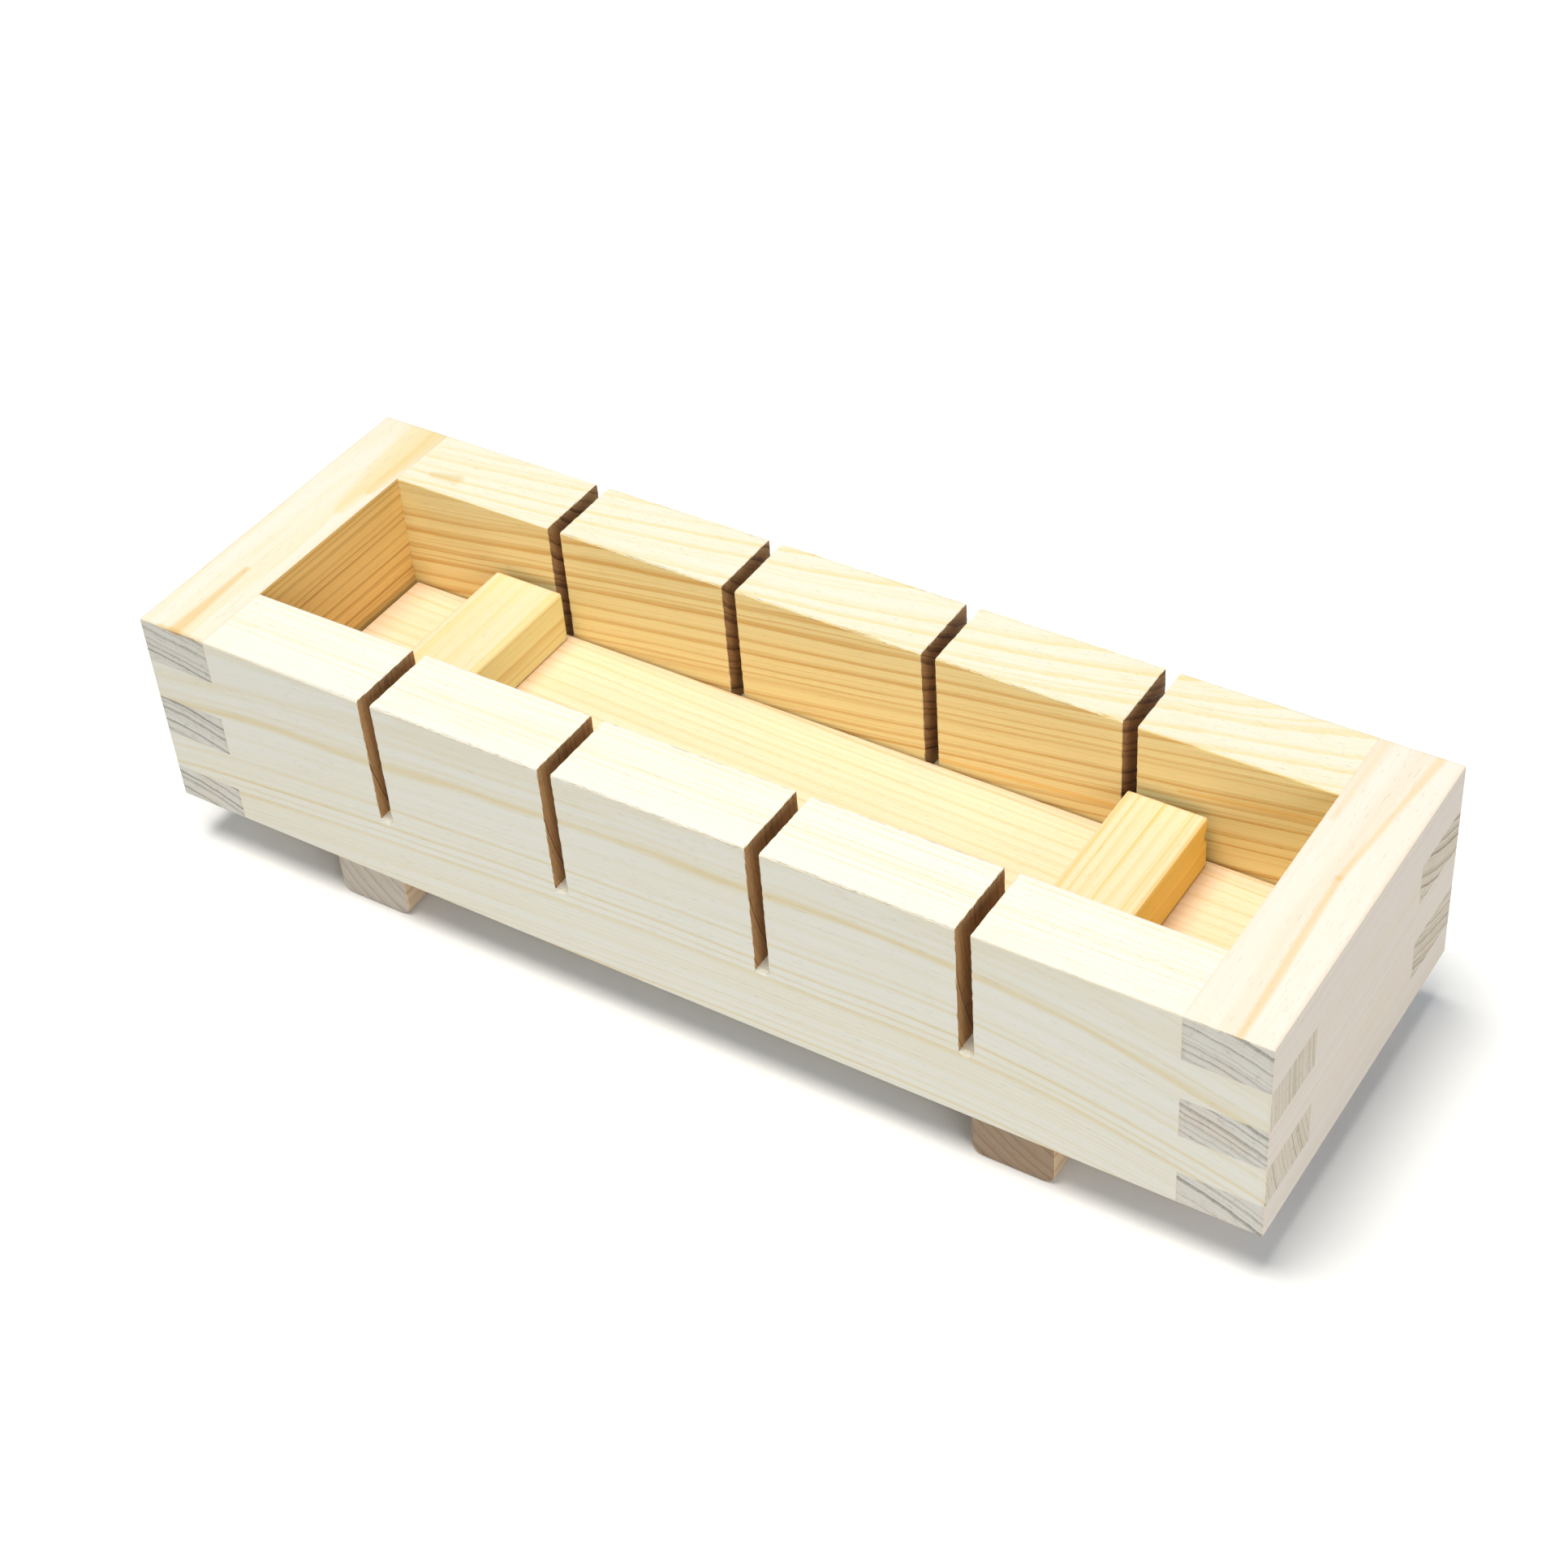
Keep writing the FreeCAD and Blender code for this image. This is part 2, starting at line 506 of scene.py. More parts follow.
    def _ring(self, recipe: Recipe, spot: tuple[Field, Field, Field]) -> Field:
        """How dark each ring is, from 0 in its early wood to 1 in its late wood.

        Args:
            recipe: The material in the making.
            spot: The place along the grain, sideways of the pith and above it.

        Returns:
            The darkness.
        """
        rings = self.rings
        slow = self._stretched(recipe, spot, self.SLOW_WAVES, 1.0) - 0.5
        quick = self._stretched(recipe, spot, self.QUICK_WAVES, 1.0) - 0.5
        _, across, height = spot
        distance = (across * across + height * height) ** 0.5
        distance = distance + slow * (2 * rings.waver) + quick * (0.7 * rings.waver)
        through = [rings.through[i] for i in self.grain.value]
        count = (distance - math.hypot(*rings.straightened(*through))) / rings.spacing
        count = count + (recipe.line_noise(count * 0.55 + rings.seed) - 0.5) * 0.7
        phase = count.fraction()
        number = count.floor() + rings.seed
        late = recipe.rise(phase, rings.late, 0.93) * recipe.rise(phase, 1.0, 0.93)
        false_ring = recipe.rise(phase, 0.3, 0.45) * recipe.rise(phase, 0.55, 0.45)
        false_ring = false_ring * recipe.rise(recipe.lot(number + 50.0), 0.4, 0.9)
        fine = recipe.rise(recipe.line_noise(count * 9.0 + rings.seed, 2.0), 0.48, 0.75)
        dark = greater(late * (recipe.lot(number) * 0.7 + 0.3), false_ring * 0.6)
        return lesser(dark + fine * rings.fine, 1.0)

    def _stretched(
        self,
        recipe: Recipe,
        spot: tuple[Field, Field, Field],
        lump: tuple[float, float],
        detail: float,
    ) -> Field:
        """Noise drawn out along the grain.

        Args:
            recipe: The material in the making.
            spot: The place along the grain, sideways of the pith and above it.
            lump: The length and width of its lumps.
            detail: How many finer layers it has.

        Returns:
            The noise, from 0 to 1.
        """
        along, across, height = spot
        length, width = lump
        vector = recipe.vector(along / length, across / width, height / width)
        return recipe.noise(vector, detail, self.rings.seed + length)

    @staticmethod
    def _tone(recipe: Recipe, tone: Tone, ring: Field) -> bpy.types.NodeSocket:
        """A tone's colour at each point of its rings."""
        return recipe.mix(tone.early, tone.late, ring)

    @staticmethod
    def _streaked(
        recipe: Recipe, colour: Any, streak: Streak, place: bpy.types.NodeSocket, patch: Field
    ) -> bpy.types.NodeSocket:
        """Lays one streak over a colour.

        Args:
            recipe: The material in the making.
            colour: The colour under it.
            streak: The streak.
            place: The point, in millimetres.
            patch: Noise that makes its edge ragged.

        Returns:
            The new colour.
        """
        start, run = Vector(streak.start), Vector(streak.end) - Vector(streak.start)
        offset = recipe.vector_math("SUBTRACT", place, tuple(start)).outputs[0]
        dot = recipe.vector_math("DOT_PRODUCT", offset, tuple(run)).outputs["Value"]
        share = lesser(greater(Field(recipe, dot) / run.length_squared, 0.0), 1.0)
        path = recipe.vector(share * run.x, share * run.y, share * run.z)
        gap = recipe.vector_math("SUBTRACT", offset, path).outputs[0]
        flat = recipe.vector_math("MULTIPLY", gap, (1.0, 1.0, streak.flatness)).outputs[0]
        away = Field(recipe, recipe.vector_math("LENGTH", flat).outputs["Value"])
        wide, narrow = streak.widths
        width = share * (narrow - wide) + wide
        closeness = recipe.rise(away / width + (patch - 0.5) * 2.4, 1.3, 0.2)
        return recipe.mix(colour, streak.colour, closeness * streak.strength, "MULTIPLY")

    @staticmethod
    def _worn(recipe: Recipe, axes: list[Field], low: Vector, high: Vector, patch: Field) -> Field:
        """How near a point is to the piece's outer edges, where handling has rubbed it.

        Args:
            recipe: The material in the making.
            axes: The point, in millimetres.
            low: The piece's lowest corner, in metres.
            high: Its highest corner.
            patch: Noise that makes the rubbing uneven.

        Returns:
            The nearness, from 0 to 1 on the edge.
        """
        near = []
        for axis, lowest, highest in zip(axes, low, high):
            middle, half = (lowest + highest) / 2 / MM, (highest - lowest) / 2 / MM
            near.append(half - abs(axis - middle))
        a, b, c = near
        second = greater(lesser(a, b), lesser(greater(a, b), c))
        return recipe.rise(second + patch * 0.8, *Softwood.RUBBED_REACH)


# ---------------------------------------------------------------- cutting


class Stock:
    """A block of wood in the making, cut and eased with mesh operators, in metres."""

    HOLE_FACETS = 16

    def __init__(self) -> None:
        """Starts with nothing."""
        self.bm = bmesh.new()

    @classmethod
    def between(cls, low: Sequence[float], high: Sequence[float]) -> "Stock":
        """A block between two corners.

        Args:
            low: The lowest corner.
            high: The highest corner.

        Returns:
            The block.
        """
        stock = cls()
        low, high = Vector(low), Vector(high)
        place = Matrix.Translation((low + high) / 2) @ Matrix.Diagonal((*(high - low), 1.0))
        bmesh.ops.create_cube(stock.bm, size=1.0, matrix=place)
        return stock

    def score(self, axis: int, places: Iterable[float]) -> None:
        """Marks cutting lines all round, across one axis.

        Args:
            axis: 0, 1 or 2 for X, Y or Z.
            places: Where on that axis.
        """
        normal = Vector((0.0, 0.0, 0.0))
        normal[axis] = 1.0
        for place in places:
            geom = [*self.bm.verts, *self.bm.edges, *self.bm.faces]
            bmesh.ops.bisect_plane(self.bm, geom=geom, plane_co=normal * place, plane_no=normal, dist=TINY)

    def faces_at(self, axis: int, place: float) -> list[bmesh.types.BMFace]:
        """The faces that lie on one plane across an axis."""
        return [f for f in self.bm.faces if all(abs(v.co[axis] - place) < TINY for v in f.verts)]

    def draw_out(self, faces: list[bmesh.types.BMFace], axis: int, length: float) -> None:
        """Extrudes some faces along an axis.

        Args:
            faces: The faces, each extruded with its neighbours.
            axis: 0, 1 or 2 for X, Y or Z.
            length: How far, with its sign.
        """
        made = bmesh.ops.extrude_face_region(self.bm, geom=faces)["geom"]
        offset = Vector((0.0, 0.0, 0.0))
        offset[axis] = length
        verts = [g for g in made if isinstance(g, bmesh.types.BMVert)]
        bmesh.ops.translate(self.bm, verts=verts, vec=offset)
        bmesh.ops.delete(self.bm, geom=[f for f in faces if f.is_valid], context="FACES_ONLY")

    def clean(self) -> None:
        """Takes away the cutting lines that ended up inside flat faces or on none."""
        bmesh.ops.dissolve_limit(
            self.bm, angle_limit=math.radians(1), verts=self.bm.verts[:], edges=self.bm.edges[:]
        )
        bmesh.ops.delete(self.bm, geom=[e for e in self.bm.edges if not e.link_faces], context="EDGES")

    def ease(self, edges: Iterable[bmesh.types.BMEdge], width: float, segments: int = 2) -> None:
        """Rounds some edges over.

        Args:
            edges: The edges.
            width: How far the rounding reaches on each face.
            segments: How many facets it has.
        """
        bmesh.ops.bevel(
            self.bm,
            geom=list(edges),
            offset=width,
            offset_type="OFFSET",
            affect="EDGES",
            segments=segments,
            profile=0.5,
            clamp_overlap=True,
            material=-1,
        )

    def tear(
        self, edges: list[bmesh.types.BMEdge], step: float, width: float, chance: random.Random
    ) -> list[bmesh.types.BMVert]:
        """Breaks some edges up into ragged little slopes.

        Args:
            edges: The edges.
            step: About how long each break is.
            width: How far the breaks reach on each face, on average.
            chance: Where the raggedness comes from.

        Returns:
            The corners of the breaks, in an order that is the same each time.
        """
        pieces = []
        for edge in edges:
            cuts = round(edge.calc_length() / step) - 1
            made = [edge]
            if cuts > 0:
                made = bmesh.ops.bisect_edges(self.bm, edges=[edge], cuts=cuts)["geom_split"]
            pieces += [g for g in made if isinstance(g, bmesh.types.BMEdge)]
        verts = bmesh.ops.bevel(
            self.bm,
            geom=list(dict.fromkeys(pieces)),
            offset=width,
            offset_type="OFFSET",
            affect="EDGES",
            segments=1,
            profile=0.5,
            material=-1,
        )["verts"]
        self.bm.normal_update()
        verts.sort(key=lambda vert: [round(place / TINY + 0.25) for place in vert.co])
        for vert in verts:
            flats = {i for face in vert.link_faces for i in range(3) if abs(face.normal[i]) > 0.999}
            for i in sorted({0, 1, 2} - flats):
                vert.co[i] += chance.uniform(-0.8, 0.8) * width
        return verts

    def notch(self, place: Vector, inward: Vector, reach: float) -> None:
        """Knocks a splinter out of an upright edge.

        Args:
            place: The middle of the notch, on the edge.
            inward: How far its deepest point goes in.
            reach: How far the notch reaches from its middle on each face.
        """
        self.score(2, (place.z - 1.4 * reach, place.z, place.z + reach))
        for axis in (0, 1):
            self.score(axis, [place[axis] + math.copysign(reach, inward[axis])])
        near = [v for v in self.bm.verts if (v.co - place).length < reach / 2]
        bmesh.ops.translate(self.bm, verts=near, vec=inward)

    def drill(self, mouth: Vector, radius: float, depth: float) -> None:
        """Sinks an upright blind hole into a level face.

        Args:
            mouth: The middle of the hole's mouth.
            radius: The hole's radius.
            depth: How far it goes up, or down if it is negative.
        """
        margin = 1.3 * radius
        for axis in (0, 1):
            self.score(axis, (mouth[axis] - margin, mouth[axis] + margin))
        for number in range(self.HOLE_FACETS):
            turn = Matrix.Rotation(math.tau * number / self.HOLE_FACETS, 3, "Z")
            outward = turn @ Vector((1.0, 0.0, 0.0))
            near = [
                face
                for face in self.faces_at(2, mouth.z)
                if all((vert.co - mouth).length < 1.5 * margin for vert in face.verts)
            ]
            geom = [*near, *(e for f in near for e in f.edges), *(v for f in near for v in f.verts)]
            bmesh.ops.bisect_plane(
                self.bm,
                geom=list(dict.fromkeys(geom)),
                plane_co=mouth + outward * radius,
                plane_no=outward,
                dist=TINY / 10,
            )
        middle = min(self.faces_at(2, mouth.z), key=lambda f: (f.calc_center_median() - mouth).length)
        self.draw_out([middle], 2, depth)

    def sharp_edges(self) -> list[bmesh.types.BMEdge]:
        """The edges between faces that still meet squarely."""
        return [e for e in self.bm.edges if e.is_manifold and e.calc_face_angle() > math.radians(60)]

    def edges_on(self, low: Vector, high: Vector) -> list[bmesh.types.BMEdge]:
        """The sharp edges that lie along the edges of a box.

        Args:
            low: The box's lowest corner.
            high: Its highest corner.

        Returns:
            The edges.
        """

        def at_limit(edge: bmesh.types.BMEdge, axis: int) -> bool:
            """True if the whole edge lies on one of the box's two faces across this axis."""
            limits = (low[axis], high[axis])
            return any(all(abs(v.co[axis] - limit) < TINY for v in edge.verts) for limit in limits)

        return [e for e in self.sharp_edges() if sum(at_limit(e, axis) for axis in range(3)) >= 2]

    def edges_between(
        self, axis: int, place: float, other_axis: int, reach: float
    ) -> list[bmesh.types.BMEdge]:
        """The edges that lie on one plane, further out than this along another axis.

        Args:
            axis: The axis that the plane lies across.
            place: Where on that axis.
            other_axis: The axis along which the distance counts.
            reach: The distance.

        Returns:
            The edges.
        """
        return [
            e
            for e in self.bm.edges
            if all(abs(v.co[axis] - place) < TINY and abs(v.co[other_axis]) > reach - TINY for v in e.verts)
        ]

    def finish(self, name: str, material: bpy.types.Material) -> bpy.types.Object:
        """Makes the piece.

        Args:
            name: The piece's name.
            material: Its material.

        Returns:
            The new object, at the origin, with its place in its mesh.
        """
        bmesh.ops.recalc_face_normals(self.bm, faces=self.bm.faces[:])
        open_edges = sum(not e.is_manifold for e in self.bm.edges)
        volume = self.bm.calc_volume()
        mesh = bpy.data.meshes.new(name)
        self.bm.to_mesh(mesh)
        self.bm.free()
        mesh.materials.append(material)
        piece = bpy.data.objects.new(name, mesh)
        bpy.context.scene.collection.objects.link(piece)
        log.info("%s: %d faces, %.2f cm3, %d open edges", name, len(mesh.polygons), volume * 1e6, open_edges)
        return piece


def fit(piece: bpy.types.Object, node: str, body: str) -> None:
    """Puts a finished piece in the place of its CAD node.

    Args:
        piece: The piece.
        node: The CAD node that it stands for.
        body: The CAD body that it moves with.
    """
    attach(piece, body)
    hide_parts(node)


# ---------------------------------------------------------------- frame


@dataclass
class PressFrame:
    """The slotted frame: two sides and two ends, finger-jointed at the corners. Sizes are in metres."""

    finger_levels: tuple[float, ...] = tuple(z * MM for z in (50.5, 41.5, 33.3, 25.1, 16.9, 10.0))
    slot_centres: tuple[float, ...] = tuple(x * MM for x in (-57.65, -20.55, 19.25, 56.75))
    slot_width: float = 2.7 * MM
    slot_floor: float = 24.2 * MM
    outer_easing: float = 0.35 * MM
    joint_easing: float = 0.02 * MM
    fray: float = 0.1 * MM
    fray_step: float = 0.8 * MM
    torn_floor: float = 0.9 * MM

    BODY = "frame"
    SLOT = "frame_wood"

    def side(self, name: str, node: str, wood: Softwood) -> None:
        """Builds one long side.

        Args:
            name: The piece's name.
            node: The CAD node that it stands for.
            wood: Its finish.
        """
        low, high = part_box(node)
        inner = (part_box("left_end")[1].x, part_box("right_end")[0].x)
        stock = Stock.between((inner[0], low.y, low.z), (inner[1], high.y, self.slot_floor))
        half = self.slot_width / 2
        stock.score(0, [x + side * half for x in self.slot_centres for side in (-1, 1)])
        teeth = [
            f
            for f in stock.faces_at(2, self.slot_floor)
            if min(abs(f.calc_center_median().x - x) for x in self.slot_centres) > half
        ]
        stock.draw_out(teeth, 2, high.z - self.slot_floor)
        self._fingers(stock, 0, inner, inner[0] - low.x, odd=True)
        stock.clean()
        self._ease_outside(stock, low, high, 1, inner[1])
        self._fray_slots(stock, low, high, random.Random(wood.rings.seed))
        joints = [e for e in stock.sharp_edges() if all(abs(v.co.x) > inner[1] - TINY for v in e.verts)]
        stock.ease(joints, self.joint_easing, 1)
        fit(stock.finish(name, wood.material(low, high)), node, self.BODY)

    def _fray_slots(self, stock: Stock, low: Vector, high: Vector, chance: random.Random) -> None:
        """Tears the edges of the slots up a little, as a saw does, and more where their floors come out.

        Args:
            stock: The side.
            low: Its lowest corner.
            high: Its highest corner.
            chance: The tearing's own source of chance.
        """
        walls = [x + side * self.slot_width / 2 for x in self.slot_centres for side in (-1, 1)]

        def on_wall(vert: bmesh.types.BMVert) -> bool:
            """True if the corner lies on a slot's wall."""
            return min(abs(vert.co.x - wall) for wall in walls) < TINY

        def on_floor(vert: bmesh.types.BMVert) -> bool:
            """True if the corner lies at the slots' floor."""
            return abs(vert.co.z - self.slot_floor) < TINY

        def outward(edge: bmesh.types.BMEdge) -> bool:
            """True if the edge isn't the inner corner between a slot's floor and its wall."""
            first, last = edge.verts
            return not (on_floor(first) and on_floor(last) and abs(first.co.y - last.co.y) > TINY)

        edges = [e for e in stock.bm.edges if all(map(on_wall, e.verts)) and outward(e)]
        for vert in stock.tear(edges, self.fray_step, self.fray, chance):
            face_y = low.y if abs(vert.co.y - low.y) < abs(vert.co.y - high.y) else high.y
            if abs(vert.co.y - face_y) < TINY and vert.co.z < self.slot_floor:
                vert.co.z -= chance.uniform(0.3, 1.0) * self.torn_floor
            elif on_floor(vert) and not on_wall(vert):
                inwards = math.copysign(self.torn_floor, low.y + high.y - 2 * face_y)
                vert.co.y += chance.uniform(0.3, 0.8) * inwards
            for axis in range(3):
                vert.co[axis] = min(max(vert.co[axis], low[axis]), high[axis])

    def end(self, name: str, node: str, wood: Softwood) -> None:
        """Builds one short end.

        Args:
            name: The piece's name.
            node: The CAD node that it stands for.
            wood: Its finish.
        """
        low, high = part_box(node)
        inner = (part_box("front_side")[1].y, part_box("back_side")[0].y)
        stock = Stock.between((low.x, inner[0], low.z), (high.x, inner[1], high.z))
        self._fingers(stock, 1, inner, inner[0] - low.y, odd=False)
        stock.clean()
        self._ease_outside(stock, low, high, 0, 0.0)
        stock.ease(stock.sharp_edges(), self.joint_easing, 1)
        fit(stock.finish(name, wood.material(low, high)), node, self.BODY)

    def _ease_outside(self, stock: Stock, low: Vector, high: Vector, across: int, reach: float) -> None:
        """Rounds a board's outer edges, apart from those where it meets its neighbours flush.

        Args:
            stock: The board.
            low: Its lowest corner.
            high: Its highest corner.
            across: The axis across its thickness.
            reach: How far out along its length the flush edges begin.
        """
        inside = min(low[across], high[across], key=abs)
        flush = stock.edges_between(across, inside, 1 - across, reach)
        stock.ease([e for e in stock.edges_on(low, high) if e not in flush], self.outer_easing)

    def _fingers(self, stock: Stock, axis: int, inner: tuple[float, float], length: float, odd: bool) -> None:
        """Draws the fingers out of both ends of a board.

        Args:
            stock: The board.
            axis: The axis that the fingers point along.
            inner: Where the fingers' roots are on that axis.
            length: The fingers' length.
            odd: True if the board owns the 2nd and 4th fingers from the rim, False for the others.
        """
        stock.score(2, self.finger_levels[1:-1])
        for place, sign in zip(inner, (-1, 1)):
            for number, (top, bottom) in enumerate(zip(self.finger_levels, self.finger_levels[1:])):
                if number % 2 == int(odd):
                    roots = stock.faces_at(axis, place)
                    roots = [f for f in roots if bottom < f.calc_center_median().z < top]
                    stock.draw_out(roots, axis, sign * length)


# ---------------------------------------------------------------- base and press


@dataclass(frozen=True)
class Pegs:
    """The fluted pegs that pin a foot or handle to its board, and their holes. Sizes are in metres."""

    flutes: int = 12
    flute_depth: float = 0.12 * MM
    chamfer: float = 0.4 * MM
    glue_line: float = 0.05 * MM
    end_gap: float = 0.3 * MM

    SLOT = "peg_wood"

    def holes(self, stock: Stock, node: str, mouth: float) -> None:
        """Drills one pair's blind holes into the board, foot or handle on one side of the joint.

        Args:
            stock: The board, foot or handle.
            node: The pegs' CAD node.
            mouth: The height of its face at the joint.
        """
        low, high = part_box(node)
        radius = (high.x - low.x) / 2
        upward = min(v.co.z for v in stock.bm.verts) > mouth - TINY
        floor = high.z + self.end_gap if upward else low.z - self.end_gap
        for y in (low.y + radius, high.y - radius):
            stock.drill(Vector(((low.x + high.x) / 2, y, mouth)), radius + self.glue_line, floor - mouth)
        stock.clean()

    def pair(self, node: str, body: str, wood: Softwood) -> None:
        """Builds one pair.

        Args:
            node: The CAD node that it stands for.
            body: The body that it moves with.
            wood: Its finish.
        """
        low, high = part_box(node)
        radius = (high.x - low.x) / 2
        stock = Stock()
        for y in (low.y + radius, high.y - radius):
            middle = Vector(((low.x + high.x) / 2, y, (low.z + high.z) / 2))
            made = bmesh.ops.create_cone(
                stock.bm,
                cap_ends=True,
                segments=2 * self.flutes,
                radius1=radius,
                radius2=radius,
                depth=high.z - low.z,
                matrix=Matrix.Translation(middle),
            )["verts"]
            for vert in made:
                away = Vector((vert.co.x - middle.x, vert.co.y - middle.y, 0.0))
                if round(math.atan2(away.y, away.x) / math.pi * self.flutes) % 2:
                    vert.co -= away.normalized() * self.flute_depth
        rims = [e for e in stock.bm.edges if abs(e.verts[0].co.z - e.verts[1].co.z) < TINY]
        stock.ease(rims, self.chamfer, 1)
        fit(stock.finish(f"{node}_fluted", wood.material(low, high)), node, body)


@dataclass
class FootedBase:
    """The base board on its two cross feet, with the pegs between them. Sizes are in metres."""

    foot_rounding: float = 2.2 * MM
    board_easing: float = 0.3 * MM
    foot_easing: float = 0.35 * MM
    pegs: Pegs = Pegs()

    BODY = "base"

    def board(self, wood: Softwood) -> None:
        """Builds the base board.

        Args:
            wood: Its finish.
        """
        low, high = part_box("base_board")
        stock = Stock.between(low, high)
        stock.ease(stock.sharp_edges(), self.board_easing)
        for side in ("left", "right"):
            self.pegs.holes(stock, f"{side}_foot_pegs", low.z)
        fit(stock.finish("base_plank", wood.material(low, high)), "base_board", self.BODY)

    def foot(self, side: str, wood: Softwood) -> None:
        """Builds one foot, rounded along its lower edges.

        Args:
            side: Which foot, left or right.
            wood: Its finish.
        """
        node = f"{side}_foot"
        low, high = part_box(node)
        stock = Stock.between(low, high)
        lower = [e for e in stock.sharp_edges() if all(abs(v.co.z - low.z) < TINY for v in e.verts)]
        stock.ease([e for e in lower if abs(e.verts[0].co.y - e.verts[1].co.y) > TINY], self.foot_rounding, 5)
        stock.ease(stock.sharp_edges(), self.foot_easing)
        self.pegs.holes(stock, f"{side}_foot_pegs", high.z)
        fit(stock.finish(f"{side}_cross_foot", wood.material(low, high)), node, self.BODY)


@dataclass
class PressBoard:
    """The press board with its two cross handles. Sizes are in metres."""

    board_easing: float = 0.3 * MM
    handle_easing: float = 0.45 * MM
    notch_drop: float = 3.0 * MM
    notch_reach: float = 1.3 * MM
    notch_slope: Point = (-0.56, -0.7, 0.0)
    pegs: Pegs = Pegs()

    BODY = "press"

    def board(self, wood: Softwood) -> None:
        """Builds the press board.

        Args:
            wood: Its finish.
        """
        low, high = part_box("press_board")
        stock = Stock.between(low, high)
        stock.ease(stock.sharp_edges(), self.board_easing)
        for side in ("left", "right"):
            self.pegs.holes(stock, f"{side}_handle_pegs", high.z)
        fit(stock.finish("press_plank", wood.material(low, high)), "press_board", self.BODY)

    def handle(self, side: str, wood: Softwood) -> None:
        """Builds one handle. The right one has lost a splinter from its far corner.

        Args:
            side: Which handle, left or right.
            wood: Its finish.
        """
        node = f"{side}_handle"
        low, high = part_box(node)
        stock = Stock.between(low, high)
        stock.ease(stock.sharp_edges(), self.handle_easing)
        self.pegs.holes(stock, f"{side}_handle_pegs", low.z)
        if side == "right":
            place = Vector((high.x, high.y, high.z - self.notch_drop))
            stock.notch(place, Vector(self.notch_slope) * self.notch_reach, self.notch_reach)
        fit(stock.finish(f"{side}_grip", wood.material(low, high)), node, self.BODY)


# ---------------------------------------------------------------- studio


@dataclass(frozen=True)
class Lamp:
    """A round soft box that looks at the object. Its size and place are in metres and its power in watts."""

    name: str
    colour: Colour
    power: float
    size: float
    place: Point


